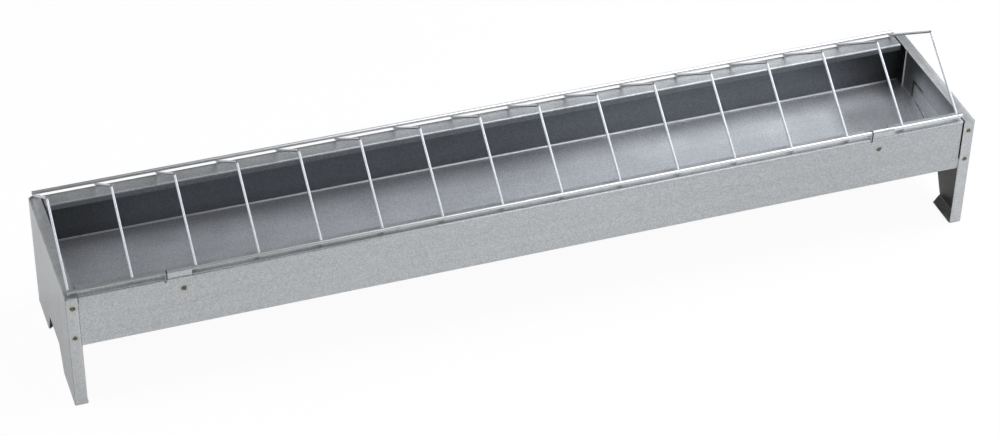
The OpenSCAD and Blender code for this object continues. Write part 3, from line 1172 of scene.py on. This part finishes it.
def repeat(graph: Graph, given: bpy.types.NodeOutputs, start: str, feeds: Feeds) -> bpy.types.NodeSocket:
    """Repeats a shape along the grille.

    Args:
        graph: The tree's graph.
        given: The tree's inputs, with a Count and a Pitch.
        start: The name of the input that says where the row starts.
        feeds: The repeated shape, its turn and its size.

    Returns:
        The instances' socket.
    """
    spots = graph.node("GeometryNodeMeshLine", {
        "Count": given["Count"], "Start Location": given[start], "Offset": given["Pitch"]}, mode="OFFSET")
    return graph.node("GeometryNodeInstanceOnPoints", {"Points": spots.outputs[0], **feeds}).outputs[0]


def grow(name: str, draw: Callable[[Graph, bpy.types.NodeOutputs], bpy.types.NodeSocket],
         values: dict[str, object]) -> bpy.types.Object:
    """Builds and runs a Geometry Nodes tree, and keeps its result as a plain mesh on the grille.

    Args:
        name: The new piece's name.
        draw: Wires the tree's shape from its inputs.
        values: The tree's inputs, by name.

    Returns:
        The new piece, which stands at the origin and has no modifiers.
    """
    tree = bpy.data.node_groups.new(name, "GeometryNodeTree")
    inputs = []
    for label, value in values.items():
        inputs.append(tree.interface.new_socket(label, in_out="INPUT", socket_type=SOCKETS[type(value)]))
    tree.interface.new_socket("Geometry", in_out="OUTPUT", socket_type="NodeSocketGeometry")
    graph = Graph(tree)
    given = graph.node("NodeGroupInput").outputs
    graph.node("NodeGroupOutput", {0: finish_shape(graph, given, draw(graph, given))})
    carrier = add_object(name + "_carrier", bpy.data.meshes.new(name + "_carrier"))
    modifier = carrier.modifiers.new("growth", "NODES")
    modifier.node_group = tree
    for socket, value in zip(inputs, values.values()):
        modifier[socket.identifier] = value
    mesh = bpy.data.meshes.new_from_object(carrier.evaluated_get(bpy.context.evaluated_depsgraph_get()))
    bpy.data.objects.remove(carrier)
    mesh.name = name
    piece = add_object(name, mesh)
    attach(piece, Body.GRILLE.value)
    LOG.info("%s: %d faces", name, len(mesh.polygons))
    return piece


@dataclass(frozen=True)
class Leg:
    """One leg of a cross wire, from the peak down under a rod, in the plane of Y and Z."""

    rod_y: float
    rod_z: float
    rod_r: float
    wire_r: float
    sink: float
    overrun: float
    peak_y: float
    peak_z: float

    def side(self) -> float:
        """Returns 1 for a leg that comes down to the back, and -1 for one to the front."""
        return math.copysign(1.0, self.rod_y - self.peak_y)

    def slope(self) -> float:
        """Finds how steep the leg has to be to pass under its rod.

        Returns:
            The slope in radians.
        """
        run, rise = abs(self.rod_y - self.peak_y), self.peak_z - self.rod_z
        offset = self.rod_r + self.wire_r - self.sink
        return math.atan2(rise, run) + math.asin(offset / math.hypot(run, rise))

    def tip(self) -> Point:
        """Finds where the leg's axis ends.

        Returns:
            The point.
        """
        run, rise = abs(self.rod_y - self.peak_y), self.peak_z - self.rod_z
        slope = self.slope()
        length = math.hypot(run, rise) * math.cos(slope - math.atan2(rise, run)) + self.overrun
        y = self.peak_y + self.side() * length * math.cos(slope)
        return (0.0, y, self.peak_z - length * math.sin(slope))

    def weld(self) -> Point:
        """Finds the middle of the contact between the leg and its rod.

        Returns:
            The point.
        """
        reach = self.rod_r - self.sink / 2
        slope = self.slope()
        return (0.0, self.rod_y - self.side() * reach * math.sin(slope), self.rod_z - reach * math.cos(slope))


@dataclass
class Grille:
    """The welded wire grille: two long rods, sixteen gable wires and their weld beads."""

    wire_count: int = 16
    wire_r: float = 1.4 * MM
    sink: float = 0.4 * MM
    overrun: float = 2.5 * MM
    peak: Pair = (-3.0 * MM, 202.0 * MM)
    bend_r: float = 4.4 * MM
    bend_steps: int = 8
    round_sides: int = 24
    lean: float = 0.25
    bead: Point = (1.95 * MM, 2.35 * MM, 0.95 * MM)
    bead_least: Point = (0.92, 0.90, 0.85)
    bead_most: Point = (1.08, 1.10, 1.10)
    bead_sides: int = 16
    bead_rings: int = 10
    seed: int = 7
    rods: tuple[str, str] = ("grille_front_rod", "grille_rear_rod")
    # The front rod's darker colour is painted shade: both rods are the same drawn wire.
    rod_colours: tuple[Colour, Colour] = ((0.76, 0.77, 0.782), (0.92, 0.93, 0.945))

    def wires(self) -> list[str]:
        """Returns the names of the cross wires."""
        return [f"grille_wire_{number:02d}" for number in range(1, self.wire_count + 1)]

    def legs(self) -> tuple[Leg, Leg]:
        """Finds the legs of a cross wire.

        Returns:
            The front and the rear one.
        """
        made = []
        for rod in self.rods:
            low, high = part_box(rod)
            made.append(Leg((low.y + high.y) / 2, (low.z + high.z) / 2, (high.z - low.z) / 2,
                            self.wire_r, self.sink, self.overrun, *self.peak))
        return made[0], made[1]

    def row(self) -> Pair:
        """Finds where the cross wires stand.

        Returns:
            The first one's place along X, and the pitch.
        """
        boxes = (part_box(self.wires()[end]) for end in (0, -1))
        first, last = (((low + high) / 2).x for low, high in boxes)
        return first, (last - first) / (self.wire_count - 1)

    @staticmethod
    def draw_wires(graph: Graph, given: bpy.types.NodeOutputs) -> bpy.types.NodeSocket:
        """Bends one wire over the peak and repeats it along the rods.

        Args:
            graph: The tree's graph.
            given: The tree's inputs, by name.

        Returns:
            The wires' socket.
        """
        corner = graph.node("GeometryNodeIndexSwitch", data_type="VECTOR")
        corner.index_switch_items.new()
        index = graph.node("GeometryNodeInputIndex").outputs[0]
        graph.feed(corner, {0: index, 1: given["Rear Tip"], 2: given["Peak"], 3: given["Front Tip"]})
        corners = graph.node("GeometryNodePoints", {"Count": 3, "Position": corner.outputs[0]})
        path = graph.node("GeometryNodePointsToCurves", {"Points": corners.outputs[0]})
        bent = graph.node("GeometryNodeFilletCurve", {
            "Curve": path.outputs[0], "Count": given["Bend Steps"], "Radius": given["Bend Radius"]},
            mode="POLY")
        outline = graph.node("GeometryNodeCurvePrimitiveCircle", {
            "Resolution": given["Sides"], "Radius": given["Wire Radius"]}, mode="RADIUS")
        swept = graph.node("GeometryNodeCurveToMesh", {
            "Curve": bent.outputs[0], "Profile Curve": outline.outputs[0], "Fill Caps": True})
        leaning = graph.node("FunctionNodeRandomValue", {
            0: graph.scale(given["Lean"], -1.0), 1: given["Lean"], "Seed": given["Seed"]},
            data_type="FLOAT_VECTOR")
        return repeat(graph, given, "Start", {"Instance": swept.outputs[0], "Rotation": leaning.outputs[0]})

    @staticmethod
    def draw_beads(graph: Graph, given: bpy.types.NodeOutputs) -> bpy.types.NodeSocket:
        """Sets a flattened bead at each crossing of a wire and a rod.

        Args:
            graph: The tree's graph.
            given: The tree's inputs, by name.

        Returns:
            The beads' socket.
        """
        bead = graph.node("GeometryNodeMeshUVSphere", {
            "Segments": given["Segments"], "Rings": given["Rings"], "Radius": 1.0})
        joined = graph.node("GeometryNodeJoinGeometry")
        for number, end in enumerate(("Front", "Rear")):
            share = graph.node("FunctionNodeRandomValue", {
                0: given["Least Size"], 1: given["Most Size"],
                "Seed": graph.math("ADD", given["Seed"], float(number))}, data_type="FLOAT_VECTOR")
            beads = repeat(graph, given, end + " Start", {
                "Instance": bead.outputs[0], "Rotation": given[end + " Turn"],
                "Scale": graph.vector("MULTIPLY", share.outputs[0], given["Size"])})
            graph.feed(joined, {0: beads})
        return joined.outputs[0]

    def make_wires(self, finish: bpy.types.Material) -> None:
        """Sweeps the cross wires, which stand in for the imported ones.

        Args:
            finish: The wires' material.
        """
        front, rear = (Vector(leg.tip()) for leg in self.legs())
        first, pitch = self.row()
        lean = math.radians(self.lean)
        down = Vector((0.0, 0.0, front.z))
        piece = grow("grille_wires", self.draw_wires, {
            "Count": self.wire_count, "Start": (first, 0.0, down.z), "Pitch": (pitch, 0.0, 0.0),
            "Rear Tip": tuple(rear - down), "Peak": tuple(Vector((0.0, *self.peak)) - down),
            "Front Tip": tuple(front - down), "Bend Radius": self.bend_r, "Bend Steps": self.bend_steps,
            "Wire Radius": self.wire_r, "Sides": self.round_sides, "Lean": (0.0, lean, 0.5 * lean),
            "Seed": self.seed, "Material": finish})
        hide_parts(*self.wires())

    def make_beads(self, finish: bpy.types.Material) -> None:
        """Sets the weld beads between the wires and the rods.

        Args:
            finish: The beads' material.
        """
        front, rear = self.legs()
        first, pitch = self.row()
        starts = [tuple(Vector(leg.weld()) + Vector((first, 0.0, 0.0))) for leg in (front, rear)]
        grow("grille_weld_beads", self.draw_beads, {
            "Count": self.wire_count, "Pitch": (pitch, 0.0, 0.0), "Front Start": starts[0],
            "Rear Start": starts[1], "Front Turn": (front.slope(), 0.0, 0.0),
            "Rear Turn": (-rear.slope(), 0.0, 0.0), "Size": self.bead, "Least Size": self.bead_least,
            "Most Size": self.bead_most, "Segments": self.bead_sides, "Rings": self.bead_rings,
            "Seed": self.seed, "Material": finish})

    def dress(self) -> None:
        """Gives the rods, the wires and the beads their finishes."""
        for node, colour in zip(self.rods, self.rod_colours):
            # Painted shade darkens each rod toward the left end of the run.
            rod = DrawnWire(node + "_finish", colour=colour, roughness=0.36, shade_share=0.62, lit_x=0.22)
            wear_material(node, rod.material())
        # Painted shade darkens the wires a little toward the left end.
        wire = DrawnWire("grille_wire", colour=(0.51, 0.52, 0.55), roughness=0.30, shade_share=0.85)
        self.make_wires(wire.material())
        bead = DrawnWire("grille_weld", colour=(0.40, 0.41, 0.42), roughness=0.36)
        self.make_beads(bead.material())


def direction(azimuth: float, elevation: float) -> Point:
    """Returns the unit vector at two angles in radians: round from +X, and up from level."""
    level = math.cos(elevation)
    return (level * math.cos(azimuth), level * math.sin(azimuth), math.sin(elevation))


@dataclass(frozen=True)
class SoftPatch:
    """A soft patch of light on the studio's diffusing tent."""

    azimuth: float
    elevation: float
    spread: float
    radiance: float
    colour: Colour = WHITE

    def towards(self) -> Point:
        """Returns the unit direction from the trough to the patch's middle."""
        return direction(math.radians(self.azimuth), math.radians(self.elevation))


PATCHES = (
    SoftPatch(azimuth=0, elevation=64, spread=38, radiance=4.2, colour=(0.95, 0.98, 1.02)),
    SoftPatch(azimuth=0, elevation=40, spread=34, radiance=1.6, colour=(0.95, 0.98, 1.02)),
    SoftPatch(azimuth=180, elevation=40, spread=34, radiance=3.8, colour=(0.98, 1.0, 1.01)),
    SoftPatch(azimuth=0, elevation=16, spread=30, radiance=3.8),
    SoftPatch(azimuth=-81, elevation=51, spread=10, radiance=2.0),
    SoftPatch(azimuth=-67, elevation=48, spread=11, radiance=4.0),
    SoftPatch(azimuth=-54, elevation=45, spread=11, radiance=4.0),
)


class TentGlow(ShaderGroup):
    """How bright the studio's tent is in each direction, from its soft patches."""

    name = "tent_glow"
    inputs = {"Direction": (0.0, 0.0, 1.0)}
    outputs = ("Colour",)
    output_kind = "NodeSocketColor"

    @classmethod
    def draw(cls, graph: Graph, given: bpy.types.NodeOutputs) -> dict[str, object]:
        """Adds up the patches, each of which fades smoothly from its middle to its rim.

        Args:
            graph: The group's graph.
            given: The group's inputs, by name.

        Returns:
            The colour, times the brightness.
        """
        facing = graph.vector("NORMALIZE", given["Direction"])
        total: object = NO_VECTOR
        for patch in PATCHES:
            likeness = graph.vector("DOT_PRODUCT", facing, patch.towards())
            angle = graph.math("ARCCOSINE", graph.math("MINIMUM", likeness, 1.0))
            share = graph.ramp(angle, math.radians(patch.spread), 0.0)
            glow = graph.scale(tuple(patch.radiance * part for part in patch.colour), share)
            total = graph.vector("ADD", glow, total)
        return {"Colour": total}


@dataclass
class Studio:
    """A white floor that runs out to a white horizon, under a diffusing tent lit by soft patches."""

    floor_reach: float = 40.0
    floor_white: float = 0.88
    shown_white: float = 0.95
    mirrored_white: float = 0.35
    tent_r: float = 1.8
    tent_foot: float = 25.0
    horizon: float = 8.0
    rings: int = 14
    sectors: int = 64

    def floor(self) -> None:
        """Lays the floor. The camera sees it mostly as plain white, and metal sees its real shade."""
        reach = self.floor_reach
        corners = [(-reach, -reach, 0.0), (reach, -reach, 0.0), (reach, reach, 0.0), (-reach, reach, 0.0)]
        made, graph = empty_material("studio_floor")
        lit = graph.node("ShaderNodeBsdfDiffuse", {"Color": rgba((self.floor_white,) * 3)})
        plain = graph.node("ShaderNodeEmission", {"Strength": 1.0})
        path = graph.node("ShaderNodeLightPath").outputs
        shown = graph.math("MAXIMUM", path["Is Camera Ray"], path["Is Transmission Ray"])
        shown = graph.math("MULTIPLY", shown, self.shown_white)
        mirrored = graph.math("MULTIPLY", path["Is Glossy Ray"], self.mirrored_white)
        mixed = graph.node("ShaderNodeMixShader", {
            0: graph.math("MAXIMUM", shown, mirrored), 1: lit.outputs[0], 2: plain.outputs[0]})
        graph.node("ShaderNodeOutputMaterial", {"Surface": mixed.outputs[0]})
        self.stand("studio_floor", corners, [(0, 1, 2, 3)], made)

    def tent(self) -> None:
        """Hangs the tent, a dome that lights the trough and that the camera doesn't see."""
        corners, faces = [], []
        for ring in range(self.rings + 1):
            rise = math.radians(self.tent_foot + (90.0 - self.tent_foot) * ring / self.rings)
            for sector in range(self.sectors):
                towards = direction(math.tau * sector / self.sectors, rise)
                corners.append(tuple(self.tent_r * part for part in towards))
        for ring in range(self.rings):
            for sector in range(self.sectors):
                low, following = ring * self.sectors, (sector + 1) % self.sectors
                high = low + self.sectors
                faces.append((low + sector, high + sector, high + following, low + following))
        made, graph = empty_material("studio_tent")
        place = graph.node("ShaderNodeTexCoord").outputs["Object"]
        colour = graph.place(TentGlow.tree(), Direction=place)["Colour"]
        glow = graph.node("ShaderNodeEmission", {"Color": colour})
        graph.node("ShaderNodeOutputMaterial", {"Surface": glow.outputs[0]})
        dome = self.stand("studio_tent", corners, faces, made)
        dome.visible_camera = False
        dome.visible_shadow = False

    def room_light(self) -> None:
        """Sets the world: white round the horizon, and the tent's own glow above it."""
        world = bpy.data.worlds.new("studio_room")
        world.use_nodes = True
        world.node_tree.nodes.clear()
        graph = Graph(world.node_tree)
        towards = graph.node("ShaderNodeTexCoord").outputs["Generated"]
        parts = graph.node("ShaderNodeSeparateXYZ", {0: towards})
        above = graph.math("GREATER_THAN", parts.outputs["Z"], math.sin(math.radians(self.horizon)))
        glow = graph.place(TentGlow.tree(), Direction=towards)["Colour"]
        colour = graph.tint(above, rgba(WHITE), glow)
        seen = graph.node("ShaderNodeLightPath").outputs["Is Camera Ray"]
        sky = graph.node("ShaderNodeBackground", {
            "Color": graph.tint(seen, colour, rgba(WHITE)), "Strength": 1.0})
        graph.node("ShaderNodeOutputWorld", {"Surface": sky.outputs[0]})
        bpy.context.scene.world = world

    @staticmethod
    def stand(name: str, corners: list[Point], faces: list[tuple[int, ...]],
              made: bpy.types.Material) -> bpy.types.Object:
        """Makes a part of the studio.

        Args:
            name: Its name.
            corners: Its mesh's corners.
            faces: Its mesh's faces.
            made: Its material.

        Returns:
            The new object.
        """
        mesh = bpy.data.meshes.new(name)
        mesh.from_pydata(corners, [], faces)
        mesh.materials.append(made)
        part = add_object(name, mesh)
        return part

    def build(self) -> None:
        """Builds the whole studio."""
        self.floor()
        self.tent()
        self.room_light()
        bpy.context.scene.view_settings.view_transform = "Standard"


@dataclass
class Viewpoint:
    """The camera, at the photograph's viewing angle."""

    place: Point = (-0.8217, -2.2283, 1.8863)
    aim: Point = (-0.0130, 0.0, 0.0603)
    roll: float = 1.24
    lens: float = 100.34
    sensor: float = 36.0

    def build(self) -> None:
        """Makes the camera and gives it to the scene."""
        data = bpy.data.cameras.new("viewpoint")
        data.lens = self.lens
        data.sensor_width = self.sensor
        camera = add_object("viewpoint", data)
        facing = (Vector(self.aim) - Vector(self.place)).to_track_quat("-Z", "Y").to_matrix().to_4x4()
        turn = Matrix.Rotation(math.radians(self.roll), 4, "Z")
        camera.matrix_world = Matrix.Translation(self.place) @ facing @ turn
        bpy.context.scene.camera = camera


def main() -> None:
    """Builds the camera, the studio and every finish, in order."""
    logging.basicConfig(level=logging.INFO, format="%(name)s: %(message)s")
    Viewpoint().build()
    Studio().build()
    welds = SpotWelds()
    welds.dress()
    SheetWork(welds, Pan.packed()).dress()
    Grille().dress()


if __name__ == "__main__":
    main()
